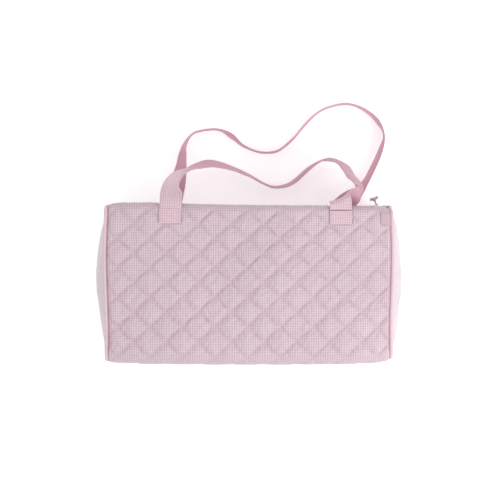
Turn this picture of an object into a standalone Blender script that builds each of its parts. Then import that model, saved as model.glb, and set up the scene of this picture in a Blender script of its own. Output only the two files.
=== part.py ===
"""Quilted zip-top diaper bag, lying on its back panel.

+X runs along the bag, +Y from the base to the zip, +Z from the back panel up
to the front panel. The origin is the middle of the back panel's flat face.
"""
import math

import bmesh
import bpy
from mathutils import Matrix, Vector

# ---- driving dimensions, metres ------------------------------------------
HEIGHT = 0.254            # base to zip
DEPTH = 0.178             # back panel to front panel
BODY_LENGTH = 0.4524      # quilted tube between the two rows of piping
GAP = 0.0003              # clearance between pieces that touch

QUILT = 0.005             # quilted panel: cloth, wadding, backing
LINING = 0.001
TOP_RADIUS = 0.012        # roll of the panel edge beside the zip
BASE_RADIUS = 0.024       # roll of the panel edge beside the base
TOP_RETURN = 0.020        # panel cloth that turns over the top, to the seam
BASE_RETURN = 0.032       # panel cloth that turns under the base, to the seam

PIPING_RADIUS = 0.003
END_BULGE = 0.020         # stuffed bulge of each end panel
END_THICKNESS = 0.004

PLACKET = 0.003           # folded strip beside the zip
PLACKET_EDGE = 0.0090     # from the zip's middle to the placket's free edge
TAPE = 0.001
TAPE_REACH = 0.0175       # from the zip's middle to the tape's sewn edge
COIL_WIDTH = 0.0025       # one half of the coil
COIL_HEIGHT = 0.0024
FLAP_HALF = 0.2238        # half length of the plackets and tapes
ZIP_LEFT = -0.2140        # where the zip's teeth start and end
ZIP_RIGHT = 0.2225
SLIDER_REST = 0.2115      # where the closed slider is parked
PATCH_SIZE = (0.0165, 0.0185, 0.0012)
PATCH_TOP = 0.1150         # the corner patch's edge towards the zip
SLIDER_SIZE = (0.0120, 0.0036, 0.0092)
SLIDER_RISE = 0.0003      # slider's clearance over the coil
PULL_LEAN = math.radians(22)

STRAP_WIDTH = 0.035
STRAP_THICK = 0.002
STRAP_FOOT = 0.0970       # lower edge of the sewn-down ends
FRONT_STRAP_START = 0.1185    # where the front strap leaves its sewn end
BACK_STRAP_START = 0.1230     # the back one leaves clear of the rolled edge
FRONT_STRAP_X = (-0.1270, 0.1440)
BACK_STRAP_X = (-0.1370, 0.1560)

BOARD = 0.003
BOARD_HALF = 0.2100
POCKET_SIZE = (0.2400, 0.1250, 0.0120)
POCKET_CLOTH = 0.0016
BINDING_WIDTH = 0.008

HALF_X = BODY_LENGTH / 2
HALF_Y = HEIGHT / 2
MID_Z = DEPTH / 2
PIPING_X = HALF_X + GAP + PIPING_RADIUS
TOP_SEAM = DEPTH - TOP_RETURN        # height of the front panel's zip seam
BASE_SEAM = DEPTH - BASE_RETURN      # height of the front panel's base seam


# ---- materials -----------------------------------------------------------
def material(name, colour, roughness=0.85, metallic=0.0):
    made = bpy.data.materials.new(name)
    made.use_nodes = True
    shader = made.node_tree.nodes["Principled BSDF"]
    shader.inputs["Base Color"].default_value = (*colour, 1.0)
    shader.inputs["Roughness"].default_value = roughness
    shader.inputs["Metallic"].default_value = metallic
    return made


def make_finishes():
    return {
        "gingham": material("gingham", (0.66, 0.50, 0.56)),
        "end_gingham": material("end_gingham", (0.72, 0.58, 0.62)),
        "piping": material("piping", (0.70, 0.42, 0.50), 0.7),
        "placket": material("placket", (0.64, 0.47, 0.54)),
        "tape": material("tape", (0.78, 0.56, 0.62)),
        "coil": material("coil", (0.80, 0.60, 0.66), 0.4),
        "metal": material("metal", (0.62, 0.58, 0.58), 0.3, 1.0),
        "ribbon": material("ribbon", (0.62, 0.50, 0.54), 0.6),
        "strap": material("strap", (0.68, 0.44, 0.52)),
        "lining": material("lining", (0.86, 0.80, 0.80)),
        "binding": material("binding", (0.72, 0.46, 0.53)),
        "board": material("board", (0.55, 0.52, 0.48), 0.6),
        "elastic": material("elastic", (0.88, 0.84, 0.84)),
    }


# ---- shared builders -----------------------------------------------------
def clear_scene():
    for thing in list(bpy.data.objects):
        bpy.data.objects.remove(thing, do_unlink=True)


def object_from(bm, name, finish, smooth=True):
    bmesh.ops.remove_doubles(bm, verts=bm.verts, dist=1e-7)
    bmesh.ops.recalc_face_normals(bm, faces=bm.faces)
    mesh = bpy.data.meshes.new(name)
    bm.to_mesh(mesh)
    bm.free()
    if smooth:
        mesh.shade_smooth()
        mesh.set_sharp_from_angle(angle=math.radians(35))
    mesh.materials.append(finish)
    made = bpy.data.objects.new(name, mesh)
    bpy.context.collection.objects.link(made)
    return made


def put_origin(thing, point):
    """Move the object's origin to a point without moving its shape."""
    shift = Vector(point)
    thing.data.transform(Matrix.Translation(-shift))
    thing.location = shift


def block(name, low, high, finish, bevel=0.0, segments=2):
    bm = bmesh.new()
    bmesh.ops.create_cube(bm, size=1.0)
    size = Vector(high) - Vector(low)
    middle = (Vector(high) + Vector(low)) / 2
    bmesh.ops.scale(bm, vec=size, verts=bm.verts)
    bmesh.ops.translate(bm, vec=middle, verts=bm.verts)
    if bevel:
        bmesh.ops.bevel(bm, geom=bm.edges[:], offset=bevel, segments=segments,
                        affect="EDGES", profile=0.5)
    return object_from(bm, name, finish)


def arc(centre, radius, start, end, steps):
    """Points (y, z) round a centre, angles in degrees from +Y towards +Z."""
    points = []
    for step in range(steps + 1):
        angle = math.radians(start + (end - start) * step / steps)
        points.append((centre[0] + radius * math.cos(angle),
                       centre[1] + radius * math.sin(angle)))
    return points


def inner_line(outer, thickness):
    """Offset an open (y, z) line to its left by the cloth's thickness."""
    inner = []
    for index, point in enumerate(outer):
        before = Vector(outer[max(index - 1, 0)])
        after = Vector(outer[min(index + 1, len(outer) - 1)])
        along = (after - before).normalized()
        left = Vector((-along.y, along.x))
        inner.append(tuple(Vector(point) + left * thickness))
    return inner


def folded_sheet(name, outer, thickness, x_range, finish):
    """A sheet whose (y, z) line runs on, pushed out along X."""
    inner = inner_line(outer, thickness)
    bm = bmesh.new()
    ring_out = [bm.verts.new((x_range[0], y, z)) for y, z in outer]
    ring_in = [bm.verts.new((x_range[0], y, z)) for y, z in inner]
    for index in range(len(outer) - 1):
        bm.faces.new((ring_out[index], ring_out[index + 1],
                      ring_in[index + 1], ring_in[index]))
    grown = bmesh.ops.extrude_face_region(bm, geom=bm.faces[:])
    moved = [item for item in grown["geom"] if isinstance(item, bmesh.types.BMVert)]
    bmesh.ops.translate(bm, vec=(x_range[1] - x_range[0], 0, 0), verts=moved)
    return object_from(bm, name, finish)


def mirror_depth(points):
    """The same (y, z) line on the other side of the zip's middle plane."""
    return [(y, DEPTH - z) for y, z in reversed(points)]


def rounded_outline(inset, steps=6):
    """Closed (y, z) outline of the bag's section, drawn in by inset."""
    half_y = HALF_Y - inset
    low, high = inset, DEPTH - inset
    top = max(TOP_RADIUS - inset, 0.002)
    base = max(BASE_RADIUS - inset, 0.002)
    points = []
    points += arc((half_y - top, high - top), top, 0, 90, steps)
    points += arc((-half_y + base, high - base), base, 90, 180, steps)
    points += arc((-half_y + base, low + base), base, 180, 270, steps)
    points += arc((half_y - top, low + top), top, 270, 360, steps)
    return points


def tube_loop(name, x, inset, radius, finish):
    """A closed cord that follows the section's outline at one X."""
    outline = rounded_outline(inset)
    curve = bpy.data.curves.new(name, "CURVE")
    curve.dimensions = "3D"
    curve.bevel_depth = radius
    curve.bevel_resolution = 2
    spline = curve.splines.new("POLY")
    spline.points.add(len(outline) - 1)
    for item, (y, z) in zip(spline.points, outline):
        item.co = (x, y, z, 1.0)
    spline.use_cyclic_u = True
    spline.use_smooth = True
    curve.materials.append(finish)
    made = bpy.data.objects.new(name, curve)
    bpy.context.collection.objects.link(made)
    return made


def smooth_route(route, steps):
    """Read a smooth curve through route points (x, y, z, roll)."""
    points = [Vector(point) for point in route]
    points.insert(0, 2 * points[0] - points[1])
    points.append(2 * points[-1] - points[-2])
    line = []
    for index in range(1, len(points) - 2):
        a, b, c, d = points[index - 1:index + 3]
        for step in range(steps):
            t = step / steps
            line.append(0.5 * (2 * b + (c - a) * t
                               + (2 * a - 5 * b + 4 * c - d) * t ** 2
                               + (3 * b - a - 3 * c + d) * t ** 3))
    line.append(points[-2])
    return line


def ribbon(name, route, width, thickness, finish, steps=3):
    """A flat band swept along a route; roll turns it about its own length.

    Both ends are square to the bag's edge, where the band is sewn down.
    """
    line = smooth_route(route, steps)
    bm = bmesh.new()
    rings = []
    for index, point in enumerate(line):
        before = line[max(index - 1, 0)].to_3d()
        after = line[min(index + 1, len(line) - 1)].to_3d()
        along = (after - before).normalized()
        if index in (0, len(line) - 1):
            along = Vector((0, math.copysign(1, along.y), 0))
        side = along.cross(Vector((0, 0, 1))).normalized()
        over = side.cross(along)
        roll = math.radians(point.w)
        across = (side * math.cos(roll) + over * math.sin(roll)) * width / 2
        face = across.cross(along).normalized() * thickness / 2
        middle = point.to_3d()
        corners = (middle - across - face, middle + across - face,
                   middle + across + face, middle - across + face)
        rings.append([bm.verts.new(corner) for corner in corners])
    for first, second in zip(rings, rings[1:]):
        for corner in range(4):
            following = (corner + 1) % 4
            bm.faces.new((first[corner], first[following],
                          second[following], second[corner]))
    bm.faces.new(rings[0])
    bm.faces.new(rings[-1])
    return object_from(bm, name, finish)


def cut(target, cutters):
    """Take cutter boxes out of a piece with exact booleans."""
    for number, cutter in enumerate(cutters):
        cutter.hide_render = True
        cutter.display_type = "WIRE"
        trim = target.modifiers.new("cut_%d" % number, "BOOLEAN")
        trim.operation = "DIFFERENCE"
        trim.solver = "EXACT"
        trim.object = cutter


def join_solids(target, others):
    """Union closed pieces into one solid and drop the originals."""
    for number, other in enumerate(others):
        weld = target.modifiers.new("weld_%d" % number, "BOOLEAN")
        weld.operation = "UNION"
        weld.solver = "EXACT"
        weld.object = other
        other.hide_render = True
        other.display_type = "WIRE"


# ---- quilted body --------------------------------------------------------
def front_outline(inset):
    """Front panel's outer (y, z) line, from the zip seam to the base seam."""
    top = TOP_RADIUS - inset
    base = BASE_RADIUS - inset
    high = DEPTH - inset
    points = [(HALF_Y - inset, TOP_SEAM)]
    points += arc((HALF_Y - TOP_RADIUS, high - top), top, 0, 90, 5)
    points += arc((-HALF_Y + BASE_RADIUS, high - base), base, 90, 180, 6)
    points.append((-HALF_Y + inset, BASE_SEAM))
    return points


def make_body(finish):
    span = (-HALF_X, HALF_X)
    outline = front_outline(0.0)
    folded_sheet("front_panel", outline, QUILT, span, finish["gingham"])
    back = folded_sheet("back_panel", mirror_depth(outline), QUILT, span,
                        finish["gingham"])
    recesses = []
    for side, x in zip(("left", "right"), BACK_STRAP_X):
        reach = STRAP_WIDTH / 2 + GAP
        recess = block("recess_" + side,
                       (x - reach, STRAP_FOOT - GAP, -0.01),
                       (x + reach, HALF_Y + 0.01, STRAP_THICK + GAP),
                       finish["gingham"])
        recesses.append(recess)
    cut(back, recesses)
    block("base_panel", (-HALF_X, -HALF_Y, DEPTH - BASE_SEAM + GAP),
          (HALF_X, -HALF_Y + QUILT, BASE_SEAM - GAP), finish["gingham"])


def make_end_panel(name, side, finish):
    """Stuffed end: a rim inside the piping that swells out in the middle."""
    rim = 2 * PIPING_RADIUS + GAP
    rings = 6
    start = HALF_X + GAP
    outline = rounded_outline(rim)
    centre = Vector((0.0, MID_Z))
    bm = bmesh.new()
    layers = []
    for thickness in (END_THICKNESS, 0.0):
        layer = []
        for ring in range(rings):
            share = 1.0 - ring / rings
            swell = END_BULGE * (1.0 - share ** 2.4)
            x = side * (start + thickness + swell)
            layer.append([bm.verts.new((x, *(centre + (Vector(point) - centre) * share)))
                          for point in outline])
        peak = bm.verts.new((side * (start + thickness + END_BULGE), *centre))
        layers.append((layer, peak))
    count = len(outline)
    for layer, peak in layers:
        for outer, inner in zip(layer, layer[1:]):
            for index in range(count):
                following = (index + 1) % count
                bm.faces.new((outer[index], outer[following],
                              inner[following], inner[index]))
        for index in range(count):
            bm.faces.new((layer[-1][index], layer[-1][(index + 1) % count], peak))
    for index in range(count):
        following = (index + 1) % count
        bm.faces.new((layers[0][0][0][index], layers[0][0][0][following],
                      layers[1][0][0][following], layers[1][0][0][index]))
    return object_from(bm, name, finish)


def make_ends(finish):
    for name, side in (("left", -1), ("right", 1)):
        make_end_panel("end_panel_" + name, side, finish["end_gingham"])
        tube_loop("piping_" + name, side * PIPING_X, PIPING_RADIUS,
                  PIPING_RADIUS, finish["piping"])


# ---- zip -----------------------------------------------------------------
PLACKET_TOP = HALF_Y - 0.0015
TAPE_TOP = PLACKET_TOP - PLACKET - GAP
COIL_TOP = TAPE_TOP + GAP + COIL_HEIGHT
HINGE_Y = PLACKET_TOP - PLACKET


def zip_side(toward, near, far):
    """Low and high z of a strip beside the zip, on the front or back side."""
    ends = sorted((MID_Z + toward * near, MID_Z + toward * far))
    return ends[0], ends[1]


def make_zip_half(name, toward, finish):
    seam_reach = TOP_SEAM - GAP - MID_Z
    hinge = (0.0, HINGE_Y, MID_Z + toward * seam_reach)
    low, high = zip_side(toward, PLACKET_EDGE, seam_reach)
    span = FLAP_HALF
    placket = block("zip_placket_" + name, (-span, HINGE_Y, low),
                    (span, PLACKET_TOP, high), finish["placket"], 0.0008, 1)
    low, high = zip_side(toward, 0.0020, TAPE_REACH)
    tape = block("zip_tape_" + name, (-span, TAPE_TOP - TAPE, low),
                 (span, TAPE_TOP, high), finish["tape"])
    low, high = zip_side(toward, GAP / 2, COIL_WIDTH + GAP / 2)
    coil = block("zip_coil_" + name, (ZIP_LEFT, TAPE_TOP + GAP, low),
                 (ZIP_RIGHT - 0.005, COIL_TOP, high), finish["coil"], 0.0005, 1)
    low, high = zip_side(toward, GAP / 2, COIL_WIDTH + 0.0012)
    stop = block("zip_top_stop_" + name,
                 (ZIP_RIGHT - 0.0045, TAPE_TOP + GAP, low),
                 (ZIP_RIGHT - 0.0020, COIL_TOP + 0.0002, high), finish["metal"],
                 0.0004, 1)
    for piece in (placket, tape, coil, stop):
        put_origin(piece, hinge)


def make_slider(finish):
    long, tall, wide = SLIDER_SIZE
    base = COIL_TOP + SLIDER_RISE
    deck = base + 0.0014
    x = SLIDER_REST
    bm = bmesh.new()
    outline = [(-long / 2, -wide * 0.34), (-long / 2, wide * 0.34),
               (-long * 0.20, wide * 0.42), (long * 0.20, wide / 2),
               (long / 2, wide * 0.42), (long / 2, -wide * 0.42),
               (long * 0.20, -wide / 2), (-long * 0.20, -wide * 0.42)]
    foot = [bm.verts.new((x + along, base, MID_Z + across))
            for along, across in outline]
    grown = bmesh.ops.extrude_face_region(bm, geom=[bm.faces.new(foot)])
    moved = [item for item in grown["geom"] if isinstance(item, bmesh.types.BMVert)]
    bmesh.ops.translate(bm, vec=(0, deck - base, 0), verts=moved)
    plate = object_from(bm, "zip_slider", finish["metal"])

    # the bail is an arch along X, with the pull's bar hanging in its window
    bail = block("bail_arch", (x - 0.0042, deck - 0.0004, MID_Z - 0.0010),
                 (x + 0.0042, base + tall + 0.0012, MID_Z + 0.0010),
                 finish["metal"], 0.0006, 1)
    window = block("bail_window", (x - 0.0026, deck + 0.0002, MID_Z - 0.0030),
                   (x + 0.0026, base + tall, MID_Z + 0.0030), finish["metal"])
    join_solids(plate, [bail])
    cut(plate, [window])
    put_origin(plate, (x, base, MID_Z))
    return (x, (deck + 0.0002 + base + tall) / 2, MID_Z)


def make_pull(pivot, finish):
    """A small loop tab on the bail, and a knotted ribbon tied through it."""
    x, y, z = pivot
    half_wide, arm, bar = 0.0030, 0.0012, 0.0006
    long = 0.0080
    tab = block("zip_pull_tab", (x - bar, y - bar, z - half_wide),
                (x + bar, y + long, z + half_wide), finish["metal"], 0.0002, 1)
    lower = block("tab_window_low", (x - 0.01, y + bar, z - half_wide + arm),
                  (x + 0.01, y + 0.0038, z + half_wide - arm), finish["metal"])
    upper = block("tab_window_high", (x - 0.01, y + 0.0050, z - half_wide + arm),
                  (x + 0.01, y + long - 0.0011, z + half_wide - arm),
                  finish["metal"])
    cut(tab, [lower, upper])
    put_origin(tab, pivot)

    knot_low = y + long + GAP
    knot = block("zip_pull_ribbon", (x - 0.0026, knot_low, z - 0.0024),
                 (x + 0.0026, knot_low + 0.0044, z + 0.0024),
                 finish["ribbon"], 0.0011, 2)
    tails = []
    for number, side in enumerate((-1, 1)):
        tail = block("ribbon_tail_%d" % number,
                     (-0.0088, -0.0013, -0.0022), (-0.0008, 0.0013, 0.0022),
                     finish["ribbon"], 0.0004, 1)
        turn = Matrix.Rotation(math.radians(-14) * side, 4, "Z")
        flip = Matrix.Scale(side, 4, (-1, 0, 0))
        centre = Matrix.Translation((x, knot_low + 0.0026, z))
        tail.data.transform(centre @ turn @ flip)
        if side > 0:
            tail.data.flip_normals()
        tails.append(tail)
    join_solids(knot, tails)
    put_origin(knot, pivot)

    # the pull leans towards the middle of the bag, so it turns as one
    lean = Matrix.Rotation(PULL_LEAN, 4, "Z")
    for piece in (tab, lower, upper, knot, *tails):
        offset = Matrix.Translation(pivot) @ lean @ Matrix.Translation(-Vector(pivot))
        piece.matrix_basis = offset @ piece.matrix_basis


def make_zip_ends(finish):
    """Bottom stop, the cloth tabs sewn over both ends of the zip, and the
    square patch on the front panel's corner beside the slider."""
    block("zip_bottom_stop", (ZIP_LEFT - 0.0035, TAPE_TOP + GAP, MID_Z - 0.003),
          (ZIP_LEFT - 0.0005, COIL_TOP, MID_Z + 0.003), finish["metal"],
          0.0004, 1)
    for name, side in (("left", -1), ("right", 1)):
        ends = sorted((side * (HALF_X - 0.0075), side * (HALF_X - 0.0004)))
        block("zip_end_tab_" + name,
              (ends[0], COIL_TOP + 0.0006, MID_Z - 0.024),
              (ends[1], COIL_TOP + 0.0022, MID_Z + 0.024), finish["piping"],
              0.0004, 1)
    block("corner_patch", (HALF_X - PATCH_SIZE[0], PATCH_TOP - PATCH_SIZE[1], DEPTH + GAP),
          (HALF_X - GAP, PATCH_TOP, DEPTH + GAP + PATCH_SIZE[2]), finish["piping"],
          0.0003, 1)


def make_zip(finish):
    for name, toward in (("front", 1), ("back", -1)):
        make_zip_half(name, toward, finish)
    pivot = make_slider(finish)
    make_pull(pivot, finish)
    make_zip_ends(finish)


# ---- straps --------------------------------------------------------------
# x, y, z of the band's middle, and its roll in degrees: 0 lies flat with the
# gingham up, 90 stands on edge, 180 lies flat with the plain side up
FRONT_ROUTE = [
    (-0.1262, 0.1189, 0.1793, 0), (-0.1230, 0.1330, 0.1785, 0),
    (-0.1210, 0.1490, 0.1660, 8), (-0.1202, 0.1650, 0.1370, 30),
    (-0.1157, 0.1790, 0.1067, 62), (-0.1039, 0.1892, 0.0852, 95),
    (-0.0861, 0.1962, 0.0728, 112), (-0.0611, 0.1995, 0.0637, 112),
    (-0.0307, 0.1925, 0.0550, 108), (0.0000, 0.1803, 0.0460, 98),
    (0.0241, 0.1689, 0.0360, 96), (0.0484, 0.1615, 0.0305, 95),
    (0.0777, 0.1762, 0.0305, 90), (0.1000, 0.1975, 0.0340, 94),
    (0.1287, 0.2079, 0.0440, 104), (0.1547, 0.2005, 0.0620, 116),
    (0.1709, 0.1808, 0.0852, 124), (0.1779, 0.1660, 0.1117, 126),
    (0.1765, 0.1580, 0.1420, 116), (0.1680, 0.1540, 0.1670, 80),
    (0.1545, 0.1480, 0.1820, 34), (0.1460, 0.1380, 0.1845, 8),
    (0.1440, 0.1270, 0.1805, 0), (0.1440, 0.1189, 0.1793, 0),
]
BACK_ROUTE = [
    (-0.1370, 0.1234, 0.0010, 180), (-0.1370, 0.1360, 0.0012, 180),
    (-0.1365, 0.1500, 0.0017, 180),
    (-0.1345, 0.1660, 0.0042, 174), (-0.1284, 0.1819, 0.0108, 156),
    (-0.1229, 0.1989, 0.0165, 128), (-0.1193, 0.2178, 0.0182, 112),
    (-0.1140, 0.2366, 0.0185, 95), (-0.0985, 0.2539, 0.0185, 94),
    (-0.0777, 0.2603, 0.0185, 94), (-0.0536, 0.2608, 0.0185, 98),
    (-0.0328, 0.2505, 0.0184, 110), (-0.0121, 0.2332, 0.0185, 92),
    (0.0104, 0.2237, 0.0185, 90), (0.0311, 0.2211, 0.0185, 95),
    (0.0518, 0.2263, 0.0185, 95), (0.0743, 0.2453, 0.0185, 92),
    (0.0985, 0.2729, 0.0185, 92), (0.1209, 0.2928, 0.0185, 95),
    (0.1520, 0.3040, 0.0185, 94), (0.1797, 0.3031, 0.0185, 95),
    (0.2021, 0.2919, 0.0185, 100), (0.2194, 0.2764, 0.0185, 104),
    (0.2306, 0.2556, 0.0185, 95), (0.2280, 0.2349, 0.0185, 98),
    (0.2177, 0.2090, 0.0184, 111), (0.2041, 0.1832, 0.0180, 118),
    (0.1906, 0.1660, 0.0158, 130), (0.1760, 0.1520, 0.0100, 152),
    (0.1600, 0.1410, 0.0026, 176), (0.1560, 0.1330, 0.0012, 180),
    (0.1560, 0.1234, 0.0010, 180),
]


def make_straps(finish):
    front = ribbon("front_strap", FRONT_ROUTE, STRAP_WIDTH, STRAP_THICK,
                   finish["strap"])
    put_origin(front, (0.0, FRONT_STRAP_START, DEPTH + STRAP_THICK + GAP))
    back = ribbon("back_strap", BACK_ROUTE, STRAP_WIDTH, STRAP_THICK,
                  finish["strap"])
    put_origin(back, (0.0, BACK_STRAP_START, STRAP_THICK))
    ends = (("front", FRONT_STRAP_X, FRONT_STRAP_START, DEPTH + GAP),
            ("back", BACK_STRAP_X, BACK_STRAP_START, 0.0))
    for name, places, start, low in ends:
        for side, x in zip(("left", "right"), places):
            block("%s_strap_end_%s" % (name, side),
                  (x - STRAP_WIDTH / 2, STRAP_FOOT, low),
                  (x + STRAP_WIDTH / 2, start - GAP, low + STRAP_THICK),
                  finish["strap"])


# ---- inside --------------------------------------------------------------
LINING_SPAN = HALF_X - 0.0010


def make_lining(finish):
    inset = QUILT + GAP
    outline = front_outline(inset)
    span = (-LINING_SPAN, LINING_SPAN)
    folded_sheet("lining_front", outline, LINING, span, finish["lining"])
    folded_sheet("lining_back", mirror_depth(outline), LINING, span,
                 finish["lining"])
    floor = -HALF_Y + inset
    low, high = DEPTH - BASE_SEAM + GAP, BASE_SEAM - GAP
    block("lining_base", (-LINING_SPAN, floor, low),
          (LINING_SPAN, floor + LINING, high), finish["lining"])
    floor += LINING + GAP
    block("base_board", (-BOARD_HALF, floor, low + 0.002),
          (BOARD_HALF, floor + BOARD, high - 0.002), finish["board"], 0.0010, 1)


def make_lining_end(name, side, finish):
    """Flat lining sheet just inside the end panel's rim."""
    outline = rounded_outline(QUILT + LINING + 3 * GAP)
    bm = bmesh.new()
    start = HALF_X - 0.0006 - LINING
    foot = [bm.verts.new((side * start, y, z)) for y, z in outline]
    grown = bmesh.ops.extrude_face_region(bm, geom=[bm.faces.new(foot)])
    moved = [item for item in grown["geom"] if isinstance(item, bmesh.types.BMVert)]
    bmesh.ops.translate(bm, vec=(side * LINING, 0, 0), verts=moved)
    object_from(bm, name, finish)


def make_binding(name, side, finish):
    """Bias tape over the end seam's raw edge, inside the bag.

    It runs round the front, base and back, and stops at the zip's mouth.
    """
    outer = rounded_outline(QUILT + LINING + 4 * GAP)
    inner = rounded_outline(QUILT + LINING + 4 * GAP + 0.0018)
    start = HALF_X - 0.0019 - LINING
    bm = bmesh.new()
    rings = []
    for x in (start, start - BINDING_WIDTH):
        for outline in (outer, inner):
            rings.append([bm.verts.new((side * x, y, z)) for y, z in outline])
    order = (0, 1, 3, 2)
    for first, second in zip(order, order[1:] + order[:1]):
        for index in range(len(outer) - 1):
            bm.faces.new((rings[first][index], rings[first][index + 1],
                          rings[second][index + 1], rings[second][index]))
    for index in (0, -1):
        bm.faces.new([rings[number][index] for number in order])
    object_from(bm, name, finish)


def make_pocket(finish):
    """Patch pocket on the back lining, open towards the zip."""
    wide, tall, deep = POCKET_SIZE
    low = QUILT + LINING + 2 * GAP
    start = -0.0950
    body = block("inner_pocket", (-wide / 2, start, low),
                 (wide / 2, start + tall, low + deep), finish["lining"],
                 0.0006, 1)
    hollow = block("pocket_hollow",
                   (-wide / 2 + POCKET_CLOTH, start + POCKET_CLOTH, low - 0.01),
                   (wide / 2 - POCKET_CLOTH, start + tall + 0.01,
                    low + deep - POCKET_CLOTH), finish["lining"])
    cut(body, [hollow])
    top = low + deep + GAP
    block("pocket_elastic", (-wide / 2 + 0.002, start + tall - 0.012, top),
          (wide / 2 - 0.002, start + tall - 0.002, top + 0.0010),
          finish["elastic"])


def make_inside(finish):
    make_lining(finish)
    for name, side in (("left", -1), ("right", 1)):
        make_lining_end("lining_end_" + name, side, finish["lining"])
        make_binding("seam_binding_" + name, side, finish["binding"])
    make_pocket(finish)


def main():
    clear_scene()
    finish = make_finishes()
    make_body(finish)
    make_ends(finish)
    make_zip(finish)
    make_straps(finish)
    make_inside(finish)


main()
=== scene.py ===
import math

import bpy
import numpy as np
from mathutils import Matrix, Vector, noise


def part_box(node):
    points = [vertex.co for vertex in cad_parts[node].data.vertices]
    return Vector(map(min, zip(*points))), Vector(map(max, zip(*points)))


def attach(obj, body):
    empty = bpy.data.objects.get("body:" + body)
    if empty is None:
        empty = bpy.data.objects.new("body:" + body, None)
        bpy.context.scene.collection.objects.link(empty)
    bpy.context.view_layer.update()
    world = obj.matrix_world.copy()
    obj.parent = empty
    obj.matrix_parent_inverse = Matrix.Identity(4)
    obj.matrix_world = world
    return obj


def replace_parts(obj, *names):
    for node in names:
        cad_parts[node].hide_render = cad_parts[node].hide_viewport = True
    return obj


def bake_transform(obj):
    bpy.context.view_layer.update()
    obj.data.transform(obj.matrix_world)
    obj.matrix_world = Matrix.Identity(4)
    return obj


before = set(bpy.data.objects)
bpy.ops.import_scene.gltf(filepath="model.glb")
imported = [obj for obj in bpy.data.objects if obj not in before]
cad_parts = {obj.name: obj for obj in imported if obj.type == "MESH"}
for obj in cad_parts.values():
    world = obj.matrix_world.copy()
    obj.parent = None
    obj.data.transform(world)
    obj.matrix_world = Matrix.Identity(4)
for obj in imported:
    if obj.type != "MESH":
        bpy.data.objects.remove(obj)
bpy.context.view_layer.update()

# ---- sizes of the bag, all in metres ---------------------------------------
front_low, front_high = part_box("front_panel")
HALF_X, HALF_Y, DEPTH = front_high[0], front_high[1], front_high[2]
MID_Z = DEPTH / 2
TOP_ROUND, BASE_ROUND = 0.012, 0.024
QUILT = 0.0050               # thickness of the wadding and both cloths
SEAM_GAP = 0.0004            # clear space beside a sewn edge
STITCH_DEPTH, PUFF = 0.0018, 0.0025     # below and above the flat cloth
QUILT_GRID = 0.0020          # mesh step over the quilting
ROW_WANDER = 0.0016          # how far a stitch row strays from straight
DIAMOND = (0.0518, 0.0470)   # width and height of one quilted diamond
DIAMOND_AT = (-0.0051, 0.0724)
PIPING, PIPING_SEAM = 0.0030, 0.0015    # radii of the cord and of its seam roll
PIPING_X = (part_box("piping_right")[0][0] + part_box("piping_right")[1][0]) / 2
STRAP_WIDE, STRAP_THICK = 0.0350, 0.0020
GINGHAM = (0.0037, 0.0040)   # repeat of the check, across and along the cloth
ZIP_PITCH = 0.0015
BULGE = {"left": 0.0235, "right": 0.0195}    # how far each stuffed end swells
CHECK_WEIGHT = (0.64, 0.36)  # how strongly each stripe of the gingham colours it
PLACKET_ROWS, STRAP_ROWS = (0.002, 0.009), (0.003, 0.032)    # stitch rows, from one edge
SIDES = (("left", -1.0), ("right", 1.0))


# ---- small helpers ---------------------------------------------------------
def deselect():
    bpy.ops.object.select_all(action="DESELECT")


def pick(piece):
    deselect()
    piece.select_set(True)
    bpy.context.view_layer.objects.active = piece
    return piece


def smooth(value, low, high):
    share = np.clip((np.asarray(value, float) - low) / (high - low), 0.0, 1.0)
    return share * share * (3.0 - 2.0 * share)


def unit(vectors):
    return vectors / np.maximum(np.linalg.norm(vectors, axis=1), 1e-9)[:, None]


def ripple(points, size, seed=0.0):
    """Soft noise from -1 to 1 at each point, with lumps of about this size."""
    flat = np.asarray(points, float).reshape(-1, points.shape[-1])
    shift = Vector((seed * 7.13, seed * 3.71, seed * 5.37))
    found = [noise.noise(Vector((*(row / size), 0.0)[:3]) + shift) for row in flat]
    return np.array(found).reshape(points.shape[:-1])


def shade(piece, angle=50.0):
    pick(piece)
    bpy.ops.object.shade_smooth_by_angle(angle=math.radians(angle))
    return piece


def settle(piece):
    """Applies modifiers and place, so that the mesh holds the whole shape."""
    pick(piece)
    for modifier in list(piece.modifiers):
        bpy.ops.object.modifier_apply(modifier=modifier.name)
    bpy.ops.object.transform_apply(location=True, rotation=True, scale=True)
    return piece


def outward(piece):
    pick(piece)
    bpy.ops.object.mode_set(mode="EDIT")
    bpy.ops.mesh.select_all(action="SELECT")
    bpy.ops.mesh.normals_make_consistent(inside=False)
    bpy.ops.object.mode_set(mode="OBJECT")
    return piece


def cloth_map(mesh, name, values):
    """A UV map that holds one pair of values for each vertex."""
    layer = mesh.uv_layers.new(name=name)
    corner = np.zeros(len(mesh.loops), np.int32)
    mesh.loops.foreach_get("vertex_index", corner)
    layer.data.foreach_set("uv", np.asarray(values, np.float32)[corner].ravel())


def quads(index):
    """Four-sided faces between neighbours in a grid of vertex numbers."""
    return np.stack([index[:-1, :-1], index[:-1, 1:], index[1:, 1:], index[1:, :-1]],
                    -1).reshape(-1, 4)


def mesh_piece(name, points, faces, maps, finishes):
    mesh = bpy.data.meshes.new(name)
    mesh.from_pydata(np.asarray(points).tolist(), [], faces)
    for label, values in maps.items():
        cloth_map(mesh, label, values)
    for finish in finishes:
        mesh.materials.append(finish)
    piece = bpy.data.objects.new(name, mesh)
    bpy.context.scene.collection.objects.link(piece)
    return piece


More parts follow.
